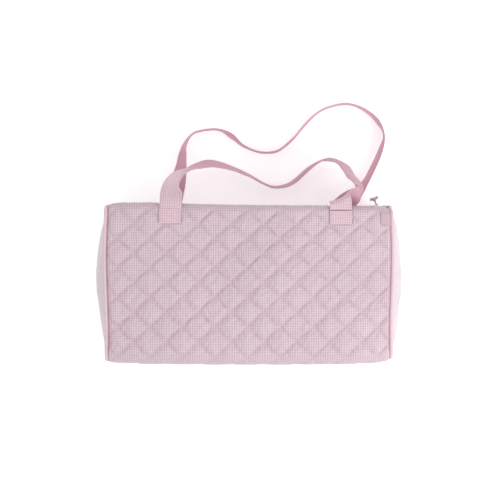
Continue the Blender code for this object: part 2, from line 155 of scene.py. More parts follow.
def closed_sheet(name, outer, inner, maps, finishes):
    """Closed form between two grids of points: face, reverse and rim."""
    rows, cols = outer.shape[:2]
    count = rows * cols
    index = np.arange(count).reshape(rows, cols)
    face = quads(index)
    loop = np.concatenate([index[0, :-1], index[:-1, -1],
                           index[-1, :0:-1], index[:0:-1, 0]])
    after = np.roll(loop, -1)
    rim = np.stack([after, loop, loop + count, after + count], -1)
    faces = np.concatenate([face, face[:, ::-1] + count, rim])
    points = np.concatenate([outer.reshape(-1, 3), inner.reshape(-1, 3)])
    doubled = {label: np.tile(values.reshape(-1, 2), (2, 1))
               for label, values in maps.items()}
    piece = outward(mesh_piece(name, points, faces.tolist(), doubled, finishes))
    if len(finishes) > 1:
        reverse = np.zeros(len(faces), np.int32)
        reverse[len(face):] = 1
        piece.data.polygons.foreach_set("material_index", reverse)
    return shade(piece)


def tube(name, route, radius, finish, sides=12, closed=False):
    """Round cord along a route, with a map in metres along and around it."""
    route = np.asarray(route, float)
    ahead = np.roll(route, -1, 0) if closed else np.vstack([route[1:], route[-1:]])
    behind = np.roll(route, 1, 0) if closed else np.vstack([route[:1], route[:-1]])
    along = unit(ahead - behind)
    side = unit(np.cross(along, (1.0, 0.0, 0.0)))
    over = np.cross(side, along)
    turns = np.linspace(0, 2 * math.pi, sides, endpoint=False)
    ring = (side[:, None] * np.cos(turns)[None, :, None]
            + over[:, None] * np.sin(turns)[None, :, None])
    radius = np.broadcast_to(np.asarray(radius, float).reshape(-1, 1, 1),
                             (len(route), 1, 1))
    points = route[:, None] + ring * radius
    index = np.arange(len(route) * sides).reshape(len(route), sides)
    index = np.concatenate([index, index[:, :1]], 1)
    if closed:
        index = np.concatenate([index, index[:1]], 0)
    faces = quads(index).tolist()
    if not closed:
        faces += [index[0, :-1][::-1].tolist(), index[-1, :-1].tolist()]
    steps = np.linalg.norm(np.diff(route, axis=0), axis=1)
    length = np.concatenate([[0.0], np.cumsum(steps)])
    maps = np.stack([np.repeat(length, sides),
                     np.tile(turns * float(radius.max()), len(route))], -1)
    piece = mesh_piece(name, points.reshape(-1, 3), faces, {"Cloth": maps}, [finish])
    return shade(outward(piece), 70)


def dress(piece, body, stands_for=None):
    """Rides the piece on its body, and hides the plain part."""
    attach(piece, body)
    if stands_for:
        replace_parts(piece, stands_for)
    return piece


# ---- finishes --------------------------------------------------------------
def colour(red, green, blue):
    """Linear colour from 0 to 255 screen values."""
    linear = []
    for part in (red, green, blue):
        part /= 255.0
        linear.append(part / 12.92 if part <= 0.04045 else ((part + 0.055) / 1.055) ** 2.4)
    return (*linear, 1.0)


def feed(tree, socket, value):
    """Links another node's output to the socket, or sets a plain value."""
    if isinstance(value, bpy.types.NodeSocket):
        tree.links.new(value, socket)
    else:
        socket.default_value = value


def node(tree, kind, **values):
    made = tree.nodes.new("ShaderNode" + kind)
    for label, value in values.items():
        if label.startswith("in_"):
            feed(tree, made.inputs[int(label[3:])], value)
        else:
            setattr(made, label, value)
    return made


def sums(tree, operation, *values):
    made = tree.nodes.new("ShaderNodeMath")
    made.operation = operation
    for socket, value in zip(made.inputs, values):
        feed(tree, socket, value)
    return made.outputs[0]


def mix(tree, share, first, second, blend="MIX"):
    made = tree.nodes.new("ShaderNodeMix")
    made.data_type = "RGBA"
    made.blend_type = blend
    for number, value in ((0, share), (6, first), (7, second)):
        feed(tree, made.inputs[number], value)
    return made.outputs[2]


def new_group(name, inputs, outputs):
    tree = bpy.data.node_groups.new(name, "ShaderNodeTree")
    for label, kind, value in inputs:
        socket = tree.interface.new_socket(label, in_out="INPUT", socket_type="NodeSocket" + kind)
        if value is not None:
            socket.default_value = value
    for label in outputs:
        tree.interface.new_socket(label, in_out="OUTPUT", socket_type="NodeSocketFloat")
    return tree, tree.nodes.new("NodeGroupInput"), tree.nodes.new("NodeGroupOutput")


def stripe(tree, value, repeat):
    """Soft-edged woven stripe, 0 on one colour and 1 on the other."""
    place = sums(tree, "DIVIDE", value, repeat)
    wave = sums(tree, "PINGPONG", place, 0.5)
    edge = sums(tree, "MULTIPLY_ADD", sums(tree, "SUBTRACT", wave, 0.25), 10.0, 0.5)
    return sums(tree, "MINIMUM", sums(tree, "MAXIMUM", edge, 0.0), 1.0)


def make_gingham_group():
    """Check of two crossing stripes: 0 is white, 1 is where both colours cross."""
    tree, given, result = new_group(
        "gingham check", (("Cloth", "Vector", None), ("Across", "Float", GINGHAM[0]),
                          ("Along", "Float", GINGHAM[1])), ("Check",))
    parts = node(tree, "SeparateXYZ", in_0=given.outputs[0])
    stripes = [sums(tree, "MULTIPLY",
                    stripe(tree, parts.outputs[axis], given.outputs[axis + 1]), weight)
               for axis, weight in enumerate(CHECK_WEIGHT)]
    tree.links.new(sums(tree, "ADD", *stripes), result.inputs[0])
    return tree


def make_weave_group():
    """Plain weave: thread height, and the shade between the threads."""
    tree, given, result = new_group(
        "plain weave", (("Cloth", "Vector", None), ("Thread", "Float", 0.00042)),
        ("Height", "Shade"))
    parts = node(tree, "SeparateXYZ", in_0=given.outputs[0])
    rates = [sums(tree, "MULTIPLY", sums(tree, "DIVIDE", parts.outputs[axis],
                  given.outputs[1]), math.pi) for axis in (0, 1)]
    waves = [sums(tree, "ABSOLUTE", sums(tree, "SINE", rate)) for rate in rates]
    over = sums(tree, "MULTIPLY", sums(tree, "SINE", rates[0]), sums(tree, "SINE", rates[1]))
    height = sums(tree, "MULTIPLY_ADD", over, 0.35,
                  sums(tree, "MULTIPLY", sums(tree, "ADD", *waves), 0.3))
    tree.links.new(height, result.inputs[0])
    tree.links.new(sums(tree, "MULTIPLY", *waves), result.inputs[1])
    return tree


def make_wear_group():
    """Slow drift of a cloth's tone, with finer slubs in the yarn."""
    tree, given, result = new_group(
        "cloth drift", (("Place", "Vector", None), ("Size", "Float", 9.0)), ("Drift", "Slub"))
    slow = node(tree, "TexNoise", in_0=given.outputs[0], in_2=given.outputs[1])
    slow.inputs["Detail"].default_value = 3.0
    stretched = node(tree, "VectorMath", operation="MULTIPLY", in_0=given.outputs[0])
    stretched.inputs[1].default_value = (900.0, 160.0, 400.0)
    fine = node(tree, "TexNoise", in_0=stretched.outputs[0], in_2=1.0)
    tree.links.new(slow.outputs[0], result.inputs[0])
    tree.links.new(fine.outputs[0], result.inputs[1])
    return tree


def make_quilt_group():
    """Diamond stitch rows: thread mask, and a painted shade for the dip that the thread pulls."""
    tree, given, result = new_group("diamond stitching", (("Rows", "Vector", None),),
                                    ("Thread", "Dip Shade"))
    parts = node(tree, "SeparateXYZ", in_0=given.outputs[0])
    metre = math.hypot(1 / DIAMOND[0], 1 / DIAMOND[1])
    masks, dip_shades = [], []
    for axis, other in ((0, 1), (1, 0)):
        row = sums(tree, "FRACT", sums(tree, "ADD", parts.outputs[axis], 0.5))
        off = sums(tree, "DIVIDE", sums(tree, "ABSOLUTE",
                   sums(tree, "SUBTRACT", row, 0.5)), metre)
        dash = sums(tree, "LESS_THAN", sums(tree, "FRACT", sums(
            tree, "MULTIPLY", parts.outputs[other], 12.0)), 0.70)
        line = sums(tree, "LESS_THAN", off, 0.00045)
        masks.append(sums(tree, "MULTIPLY", dash, line))
        dip_shades.append(sums(tree, "MAXIMUM", sums(tree, "SUBTRACT", 1.0,
                    sums(tree, "DIVIDE", off, 0.0035)), 0.0))
    tree.links.new(sums(tree, "MAXIMUM", *masks), result.inputs[0])
    tree.links.new(sums(tree, "MAXIMUM", *dip_shades), result.inputs[1])
    return tree


def make_row_group():
    """Straight stitch rows along the cloth, at two distances across it, with a painted shade in the
    dip beside them.
    """
    tree, given, result = new_group(
        "edge stitching", (("Cloth", "Vector", None), ("Row A", "Float", 0.003),
                           ("Row B", "Float", 0.032), ("Stitch", "Float", 0.003)),
        ("Thread", "Dip Shade"))
    parts = node(tree, "SeparateXYZ", in_0=given.outputs[0])
    offs = [sums(tree, "ABSOLUTE", sums(tree, "SUBTRACT", parts.outputs[0],
            given.outputs[number])) for number in (1, 2)]
    off = sums(tree, "MINIMUM", *offs)
    dash = sums(tree, "LESS_THAN", sums(tree, "FRACT", sums(
        tree, "DIVIDE", parts.outputs[1], given.outputs[3])), 0.72)
    thread = sums(tree, "MULTIPLY", dash, sums(tree, "LESS_THAN", off, 0.00040))
    dip_shade = sums(tree, "MAXIMUM", sums(tree, "SUBTRACT", 1.0,
               sums(tree, "DIVIDE", off, 0.0016)), 0.0)
    tree.links.new(thread, result.inputs[0])
    tree.links.new(dip_shade, result.inputs[1])
    return tree


GROUPS = {"gingham": make_gingham_group(), "weave": make_weave_group(),
          "drift": make_wear_group(), "quilt": make_quilt_group(),
          "rows": make_row_group()}


def place_group(tree, label, **values):
    made = tree.nodes.new("ShaderNodeGroup")
    made.node_tree = GROUPS[label]
    for name, value in values.items():
        feed(tree, made.inputs[name.replace("_", " ")], value)
    return made


def grey_of(tree, value):
    return node(tree, "CombineColor", in_0=value, in_1=value, in_2=value).outputs[0]


def bumped(tree, shader, height, strength, distance):
    relief = node(tree, "Bump")
    relief.inputs["Strength"].default_value = strength
    relief.inputs["Distance"].default_value = distance
    tree.links.new(height, relief.inputs["Height"])
    tree.links.new(relief.outputs[0], shader.inputs["Normal"])


def blank_finish(name):
    finish = bpy.data.materials.new(name)
    finish.use_nodes = True
    tree = finish.node_tree
    return finish, tree, tree.nodes["Principled BSDF"]


def cloth_finish(name, deep, light=None, thread=None, quilted=False, rows=None,
                 sheen=0.25, rough=0.86, weave=0.00042, bump=0.25, drift=0.10,
                 puckers=0.0):
    """Woven cloth. With a light colour it is gingham, else one dyed colour."""
    finish, tree, shader = blank_finish(name)
    cloth = node(tree, "UVMap", uv_map="Cloth").outputs[0]
    place = node(tree, "TexCoord").outputs["Object"]
    weft = place_group(tree, "weave", Cloth=cloth, Thread=weave)
    tone = place_group(tree, "drift", Place=place)
    if light:
        check = place_group(tree, "gingham", Cloth=cloth)
        base = mix(tree, check.outputs[0], light, deep)
    else:
        base = deep
    slow = sums(tree, "MULTIPLY_ADD", tone.outputs[0], 2 * drift, 1.0 - drift)
    slub = sums(tree, "MULTIPLY_ADD", tone.outputs[1], 0.16, 0.92)
    # painted shade between the threads, multiplied with the tone drift and slubs into the colour
    gap_shade = sums(tree, "MULTIPLY_ADD", weft.outputs[1], 0.10, 0.95)
    tint = sums(tree, "MULTIPLY", sums(tree, "MULTIPLY", slow, slub), gap_shade)
    base = mix(tree, 1.0, base, grey_of(tree, tint), "MULTIPLY")
    height = sums(tree, "MULTIPLY", weft.outputs[0], 0.00006)
    sewn = []
    if quilted:
        lines = node(tree, "UVMap", uv_map="Quilt").outputs[0]
        sewn.append(place_group(tree, "quilt", Rows=lines))
    if rows:
        sewn.append(place_group(tree, "rows", Cloth=cloth, Row_A=rows[0], Row_B=rows[1]))
    for stitches in sewn:
        # painted shade along each stitch row, darkening the colour where the thread pulls the cloth
        # down
        shadow = sums(tree, "MULTIPLY", stitches.outputs[1], 0.15)
        base = mix(tree, shadow, base, mix(tree, 1.0, base, deep, "MULTIPLY"))
        base = mix(tree, sums(tree, "MULTIPLY", stitches.outputs[0], 0.55), base, thread)
        raised = sums(tree, "MULTIPLY", stitches.outputs[0], 0.00025)
        height = sums(tree, "ADD", height, raised)
    if puckers:
        wrinkle = node(tree, "TexNoise", in_0=place, in_2=70.0)
        wrinkle.inputs["Detail"].default_value = 3.0
        wrinkle.inputs["Distortion"].default_value = 0.6
        height = sums(tree, "MULTIPLY_ADD", wrinkle.outputs[0], puckers, height)
    tree.links.new(base, shader.inputs["Base Color"])
    bumped(tree, shader, height, bump, 1.0)
    worn = sums(tree, "MULTIPLY_ADD", tone.outputs[0], 0.10, rough - 0.05)
    tree.links.new(worn, shader.inputs["Roughness"])
    shader.inputs["Sheen Weight"].default_value = sheen
    shader.inputs["Sheen Roughness"].default_value = 0.45
    shader.inputs["Specular IOR Level"].default_value = 0.25
    return finish


def hard_finish(name, deep, metal, rough, scratch=0.06):
    """Metal or moulded plastic with fine handling marks."""
    finish, tree, shader = blank_finish(name)
    place = node(tree, "TexCoord").outputs["Object"]
    marks = node(tree, "TexNoise", in_0=place, in_2=900.0)
    marks.inputs["Detail"].default_value = 4.0
    tint = sums(tree, "MULTIPLY_ADD", marks.outputs[0], 2 * scratch, 1.0 - scratch)
    shown = mix(tree, 1.0, deep, grey_of(tree, tint), "MULTIPLY")
    tree.links.new(shown, shader.inputs["Base Color"])
    tree.links.new(sums(tree, "MULTIPLY_ADD", marks.outputs[0], 0.2, rough - 0.1),
                   shader.inputs["Roughness"])
    bumped(tree, shader, marks.outputs[0], 0.12, 0.0003)
    shader.inputs["Metallic"].default_value = metal
    return finish


PINK_THREAD = colour(226, 204, 213)
FINISH = {
    "quilted gingham": cloth_finish(
        "quilted gingham", colour(201, 173, 186), colour(223, 206, 215),
        thread=PINK_THREAD, quilted=True, puckers=0.0006),
    "end cloth": cloth_finish(
        "end cloth", colour(222, 206, 214), colour(228, 216, 223), puckers=0.0003),
    "placket gingham": cloth_finish(
        "placket gingham", colour(201, 173, 186), colour(223, 206, 215),
        thread=PINK_THREAD, rows=PLACKET_ROWS, puckers=0.0005),
    "piping cloth": cloth_finish(
        "piping cloth", colour(228, 204, 212), sheen=0.35, puckers=0.0003),
    # deep rose seam roll: partly the seam's own cloth, partly painted shade of the groove beside
    # the piping
    "seam cloth and groove shade": cloth_finish("seam cloth and groove shade", colour(190, 148, 160), puckers=0.0003),
    "strap gingham": cloth_finish(
        "strap gingham", colour(212, 178, 191), colour(230, 207, 216),
        thread=PINK_THREAD, rows=STRAP_ROWS, puckers=0.0004),
    "strap rose": cloth_finish(
        "strap rose", colour(217, 170, 183), thread=colour(226, 186, 197),
        rows=STRAP_ROWS, puckers=0.0004),
    "tab cloth": cloth_finish(
        "tab cloth", colour(208, 180, 190), thread=PINK_THREAD, rows=(0.002, 0.0145),
        puckers=0.0003),
    "ribbon": cloth_finish("ribbon", colour(206, 178, 188), sheen=0.5, rough=0.6,
                           weave=0.0003, puckers=0.0003),
    "zip tape": cloth_finish("zip tape", colour(222, 184, 195), weave=0.0006,
                             thread=PINK_THREAD, rows=(0.004, 0.013)),
    "lining cloth": cloth_finish("lining cloth", colour(238, 231, 230), drift=0.05,
                                 puckers=0.0006),
    "binding cloth": cloth_finish("binding cloth", colour(216, 172, 186),
                                  thread=PINK_THREAD, rows=(0.0015, 0.0070)),
    "elastic": cloth_finish("elastic", colour(240, 234, 233), weave=0.0008, bump=0.5),
    "board cover": cloth_finish("board cover", colour(196, 188, 180), rough=0.9,
                                weave=0.0012),
    "coil nylon": hard_finish("coil nylon", colour(232, 196, 206), 0.0, 0.42),
    "satin nickel": hard_finish("satin nickel", colour(196, 190, 190), 1.0, 0.34),
}


# ---- how the stuffed bag lies ----------------------------------------------
# how far the filled bag's zip edge and base edge lie off straight: x, then shift
TOP_LINE = ((-0.2325, -0.0020), (-0.2200, 0.0006), (-0.2050, 0.0022), (-0.1600, 0.0022),
            (-0.1250, 0.0008), (-0.0600, -0.0010), (0.0000, -0.0020), (0.1400, -0.0028),
            (0.1950, -0.0032), (0.2120, -0.0050), (0.2250, -0.0078), (0.2325, -0.0084))
BASE_LINE = ((-0.2325, -0.0012), (-0.2150, 0.0000), (-0.1700, 0.0022), (-0.0500, 0.0034),
             (0.0600, 0.0034), (0.1500, 0.0026), (0.1950, 0.0012), (0.2200, -0.0020),
             (0.2325, -0.0060))


def line_at(line, x):
    places, shifts = zip(*line)
    return np.interp(x, places, shifts)


def slump(points):
    """Moves points of the boxy pattern to where the filled bag really lies."""
    p = np.array(points, float)
    x, y, z = p[..., 0].copy(), p[..., 1].copy(), p[..., 2].copy()
    upper = smooth(z, 0.120, 0.172)
    p[..., 1] += line_at(TOP_LINE, x) * smooth(y, 0.070, 0.126) * upper
    p[..., 1] -= line_at(BASE_LINE, x) * smooth(-y, 0.080, 0.126) * smooth(z, 0.02, 0.10)
    ends = 1.0 - smooth(np.abs(x), 0.150, 0.226)
    middle = np.clip(1.0 - (y / HALF_Y) ** 2, 0.0, 1.0)
    crown = 0.0048 * middle ** 0.8 * (0.35 + 0.65 * ends)
    lumps = 0.0030 * np.sin(x * 17.0 + 0.6) * np.cos(y * 21.0 - 0.4) * middle
    hollow = -0.0035 * np.exp(-((x + 0.085) / 0.07) ** 2 - ((y - 0.02) / 0.06) ** 2)
    p[..., 2] += (crown + lumps + hollow) * smooth(z, 0.110, 0.178)
    tuck = 0.0035 * smooth(x, 0.185, 0.2325) * upper
    p[..., 0] -= tuck
    waist = 0.0016 * np.sin(y * 26.0 + 0.5) * smooth(np.abs(x), 0.20, 0.2262)
    p[..., 0] += np.sign(x) * waist
    return p


def girth_line(inset=0.0, step=0.0005):
    """The bag's outline round its ends, in y and z, from the zip's front seam."""
    top, base = TOP_ROUND - inset, BASE_ROUND - inset
    reach, floor, roof = HALF_Y - inset, inset, DEPTH - inset
    corners = (((reach - top), (roof - top), top, 0.0),
               ((-reach + base), (roof - base), base, 90.0),
               ((-reach + base), (floor + base), base, 180.0),
               ((reach - top), (floor + top), top, 270.0))
    line = [(reach, MID_Z)]
    for y, z, radius, start in corners:
        for turn in np.radians(np.linspace(start, start + 90, 40)):
            line.append((y + radius * math.cos(turn), z + radius * math.sin(turn)))
    line.append((reach, MID_Z))
    line = np.array(line)
    away = np.concatenate([[0], np.cumsum(np.linalg.norm(np.diff(line, axis=0), axis=1))])
    even = np.arange(0, away[-1], step)
    return np.stack([np.interp(even, away, line[:, axis]) for axis in (0, 1)], -1), even


LOOP, LOOP_S = girth_line()
S_START = 0.1580 - MID_Z       # along the outline, where the front panel starts
FRONT_END = S_START + 0.29055
BASE_END = FRONT_END + 0.1140
BACK_END = LOOP_S[-1] - (MID_Z - 0.0200)


def loop_at(s):
    """Point and outward direction on the bag's outline, s metres from the zip."""
    y, z = (np.interp(s, LOOP_S, LOOP[:, axis]) for axis in (0, 1))
    dy, dz = (np.interp(s + 0.0015, LOOP_S, LOOP[:, axis])
              - np.interp(s - 0.0015, LOOP_S, LOOP[:, axis]) for axis in (0, 1))
    long = np.maximum(np.hypot(dy, dz), 1e-9)
    return y, z, dz / long, -dy / long


# ---- quilted body ----------------------------------------------------------
def quilt_rows(x, s):
    """Counts along both diagonals; a stitch row runs where one is whole."""
    drop = S_START + 0.14185 - s
    where = np.stack([x, s], -1)
    x = x + ROW_WANDER * ripple(where, 0.07, 1.0)
    drop = drop + ROW_WANDER * ripple(where, 0.07, 2.0)
    right = (x - DIAMOND_AT[0]) / DIAMOND[0]
    up = (drop - DIAMOND_AT[1]) / DIAMOND[1]
    return right + up, right - up


def puffed(x, s, rising, falling):
    """Height of the wadding over the stitch rows, with puckers beside them."""
    per_row = 1.0 / math.hypot(1 / DIAMOND[0], 1 / DIAMOND[1])
    offs = [np.abs(rows - np.round(rows)) * per_row for rows in (rising, falling)]
    dome = np.prod([1.0 - np.exp(-off / 0.0023) for off in offs], axis=0)
    pillow = np.abs(np.sin(np.pi * rising) * np.sin(np.pi * falling)) ** 0.6
    height = -STITCH_DEPTH + (STITCH_DEPTH + PUFF) * (0.62 * dome + 0.38 * pillow)
    low_third = 0.55 + 0.9 * smooth(s, 0.16, 0.32)
    for off, along in zip(offs, (falling, rising)):
        wave = np.sin(along * 2 * np.pi * 3.3 + 2.6 * np.sin(along * 2.1 + off * 90))
        beside = np.exp(-off / 0.0055) * (1 - np.exp(-off / 0.0012))
        height += 0.00055 * low_third * wave * beside
    return height, np.minimum(*offs)


def swell_by_cloth(name, grid, held, growth, pressure, cap, frames=14):
    """Lets the cloth between the held rows fill out and pucker."""
    rows, cols = grid.shape[:2]
    deselect()
    bpy.ops.mesh.primitive_grid_add(x_subdivisions=cols - 1, y_subdivisions=rows - 1, size=1)
    piece = bpy.context.object
    piece.name = name
    piece.data.vertices.foreach_set("co", grid.astype(np.float32).ravel())
    pins = piece.vertex_groups.new(name="held")
    for level in np.unique(held):
        if level > 0:
            pins.add(np.nonzero(held.ravel() == level)[0].tolist(), float(level), "REPLACE")
    swell = piece.modifiers.new("swell", "CLOTH")
    made = swell.settings
    made.quality = 4
    made.mass = 0.12
    made.tension_stiffness = made.compression_stiffness = 18
    made.shear_stiffness = 6
    made.bending_stiffness = 0.25
    made.air_damping = 2.0
    made.shrink_min = -growth
    made.use_pressure = True
    made.uniform_pressure_force = pressure
    made.effector_weights.gravity = 0
    made.vertex_group_mass = "held"
    swell.collision_settings.use_collision = False
    swell.point_cache.frame_start, swell.point_cache.frame_end = 1, frames
    for frame_number in range(1, frames + 1):
        bpy.context.scene.frame_set(frame_number)
    shaped = piece.evaluated_get(bpy.context.evaluated_depsgraph_get())
    found = np.zeros(rows * cols * 3, np.float32)
    shaped.data.vertices.foreach_get("co", found)
    bpy.data.objects.remove(piece)
    bpy.context.scene.frame_set(1)
    moved = found.reshape(rows, cols, 3) - grid
    far = np.linalg.norm(moved, axis=-1, keepdims=True)
    return grid + moved * np.minimum(1.0, cap / np.maximum(far, 1e-9))


STRAP_FEET = [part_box(label) for label in (
    "front_strap_end_left", "front_strap_end_right",
    "back_strap_end_left", "back_strap_end_right")]


def under_feet(x, y, z, margin=0.003):
    """1 where a sewn strap end presses the quilting flat, fading to 0 around it."""
    found = np.zeros(np.shape(x))
    for low, high in STRAP_FEET + [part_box("corner_patch")]:
        if (low[2] > MID_Z) != (z.mean() > MID_Z):
            continue
        wide = smooth(x, low[0] - margin, low[0]) * (1 - smooth(x, high[0], high[0] + margin))
        beyond = smooth(y, high[1] + 0.012, high[1] + 0.014)
        tall = smooth(y, low[1] - margin, low[1]) * (1 - beyond)
        found = np.maximum(found, wide * tall)
    return found


def quilt_panel(name, node_name, start, end, simulate):
    """One quilted panel, from s start to s end round the bag."""
    across = int(round(2 * (HALF_X - SEAM_GAP) / QUILT_GRID)) + 1
    down = int(round((end - start) / QUILT_GRID)) + 1
    x, s = np.meshgrid(np.linspace(-HALF_X + SEAM_GAP, HALF_X - SEAM_GAP, across),
                       np.linspace(start + SEAM_GAP, end - SEAM_GAP, down))
    y, z, out_y, out_z = loop_at(s)
    rising, falling = quilt_rows(x, s)
    height, off = puffed(x, s, rising, falling)
    edge = np.minimum(HALF_X - np.abs(x), np.minimum(s - start, end - s))
    height = height * smooth(edge, 0.0, 0.006) - 0.0020 * (1 - smooth(edge, 0.0, 0.004))
    turning = 4.0 * (out_y * out_z) ** 2        # pulled flat over the rounded edges
    height = height * (1.0 - 0.78 * np.maximum(turning, smooth(np.abs(out_y), 0.5, 0.95)))
    lying = smooth(-out_z, 0.6, 1.0)            # the back face rests on the table
    press = under_feet(x, y, z)
    height = np.where(press > 0, height * (1 - press) + (-0.0006) * press, height)
    height = np.where(lying > 0, np.minimum(height, 0.0006 * (1 - lying)), height)
    if name == "back_quilt":
        height = height * (1 - press) - 0.0024 * press
    def at(lift):
        return np.stack([x, y + out_y * lift, z + out_z * lift], -1)
    outer = at(height)
    if simulate:
        held = np.where((off < 0.0012) | (edge < 0.002) | (press > 0.4) | (lying > 0.5), 1.0,
                        np.where((off < 0.0022) | (np.abs(out_y) > 0.4), 0.5, 0.0))
        outer = swell_by_cloth(name + "_swell", outer, held, 0.022, 0.8, 0.0016)
    inner = at(np.full_like(height, -QUILT + SEAM_GAP))
    piece = closed_sheet(name, slump(outer), slump(inner),
                         {"Cloth": np.stack([x + HALF_X, s], -1),
                          "Quilt": np.stack([rising, falling], -1)},
                         [FINISH["quilted gingham"], FINISH["quilted gingham"]])
    dress(piece, "shell", node_name)


def make_body():
    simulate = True
    quilt_panel("front_quilt", "front_panel", S_START, FRONT_END, simulate)
    quilt_panel("base_quilt", "base_panel", FRONT_END, BASE_END, simulate)
    quilt_panel("back_quilt", "back_panel", BASE_END, BACK_END, False)


# ---- stuffed ends and piping -----------------------------------------------
def rounded_end(u, v, inset):
    """Maps a square to the end's outline: y and z, and 0 mid to 1 at the rim."""
    half = np.array([HALF_Y - inset, MID_Z - inset])
    rim = np.maximum(np.abs(u), np.abs(v))
    safe = np.maximum(rim, 1e-9)
    side = np.stack([u / safe, v / safe], -1) * half
    radius = np.where(u > 0, TOP_ROUND, BASE_ROUND) - inset
    centre = half - radius[..., None]
    over = np.abs(side) - centre
    corner = (over[..., 0] > 0) & (over[..., 1] > 0)
    long = np.maximum(np.linalg.norm(over, axis=-1, keepdims=True), 1e-9)
    rounded = np.sign(side) * (centre + over / long * radius[..., None])
    side = np.where(corner[..., None], rounded, side)
    spot = side * rim[..., None]
    return spot[..., 0], spot[..., 1] + MID_Z, rim


def make_end(label, sign, bulge):
    """The stuffed end cloth: swells out inside the piping, creased at its corners."""
    count_y, count_z = 110, 78
    u, v = np.meshgrid(np.linspace(-1, 1, count_y), np.linspace(-1, 1, count_z))
    y, z, rim = rounded_end(u, v, 0.0050)
    start = HALF_X + 0.0006
    dome = (1 - rim ** 2.2) * (0.70 + 0.30 * (1 - np.abs(u) ** 3) * (1 - np.abs(v) ** 3))
    swell = 0.0040 + (bulge - 0.0040) * dome
    fold = np.cos(3.0 * np.arctan2(v, u) + 0.7) * rim ** 2 * (1 - rim) * 0.0020
    x = sign * (start + swell * smooth(1 - rim, 0.0, 0.05) + fold
                + 0.0008 * ripple(np.stack([y, z], -1), 0.06, 3.0 + sign) * (1 - rim))
    outer = np.stack([x, y, z], -1)
    held = np.where(rim > 0.97, 1.0, 0.0)
    turned = int(sign)
    grown = swell_by_cloth("end_swell", outer[:, ::turned], held[:, ::turned],
                           0.012, 0.8, 0.0030)
    outer = grown[:, ::turned]
    inner = np.stack([x - sign * 0.0036, y * 0.985, (z - MID_Z) * 0.985 + MID_Z], -1)
    inner[..., 0] = sign * np.maximum(np.abs(inner[..., 0]), HALF_X + 0.0004)
    piece = closed_sheet("end_cloth_" + label, slump(outer), slump(inner),
                         {"Cloth": np.stack([y, z], -1)}, [FINISH["end cloth"]])
    dress(piece, "shell", "end_panel_" + label)


def make_piping(label, sign):
    line, _ = girth_line(PIPING, 0.0016)
    points = np.column_stack([np.full(len(line), sign * PIPING_X), line])
    thick = PIPING * (1.0 + 0.05 * ripple(points, 0.010, 5.0 + sign))
    cord = tube("piping_cord_" + label, slump(points), thick, FINISH["piping cloth"],
                sides=14, closed=True)
    dress(cord, "shell", "piping_" + label)
    # seam roll beside the cord, coloured darker than the piping: its own seam cloth plus painted
    # groove shade
    line, _ = girth_line(0.0020, 0.0020)
    points = np.column_stack([np.full(len(line), sign * (HALF_X + 0.0002)), line])
    seam = tube("piping_seam_" + label, slump(points), PIPING_SEAM, FINISH["seam cloth and groove shade"],
                sides=8, closed=True)
    dress(seam, "shell")


def make_ends():
    for label, sign in SIDES:
        make_end(label, sign, BULGE[label])
        make_piping(label, sign)


# ---- straps ----------------------------------------------------------------
# each place on a band's middle line, and its roll about that line in degrees
FRONT_ROUTE = (
    (-0.1262, 0.1172, 0.1796, 0), (-0.1258, 0.1330, 0.1786, 0),
    (-0.1250, 0.1470, 0.1670, -2), (-0.1212, 0.1600, 0.1440, -32),
    (-0.1140, 0.1715, 0.1200, -74), (-0.1058, 0.1815, 0.0990, -101),
    (-0.0950, 0.1900, 0.0845, -113), (-0.0800, 0.1965, 0.0725, -114),
    (-0.0611, 0.1995, 0.0637, -113),
    (-0.0307, 0.1925, 0.0550, -105), (0.0000, 0.1803, 0.0460, -100),
    (0.0228, 0.1680, 0.0360, -98), (0.0429, 0.1617, 0.0305, -99),
    (0.0630, 0.1651, 0.0303, -101), (0.0802, 0.1751, 0.0306, -102),
    (0.1030, 0.1951, 0.0345, -101), (0.1287, 0.2079, 0.0440, -100),
    (0.1537, 0.1999, 0.0620, -108), (0.1654, 0.1830, 0.0830, -116),
    (0.1741, 0.1663, 0.1050, -122))
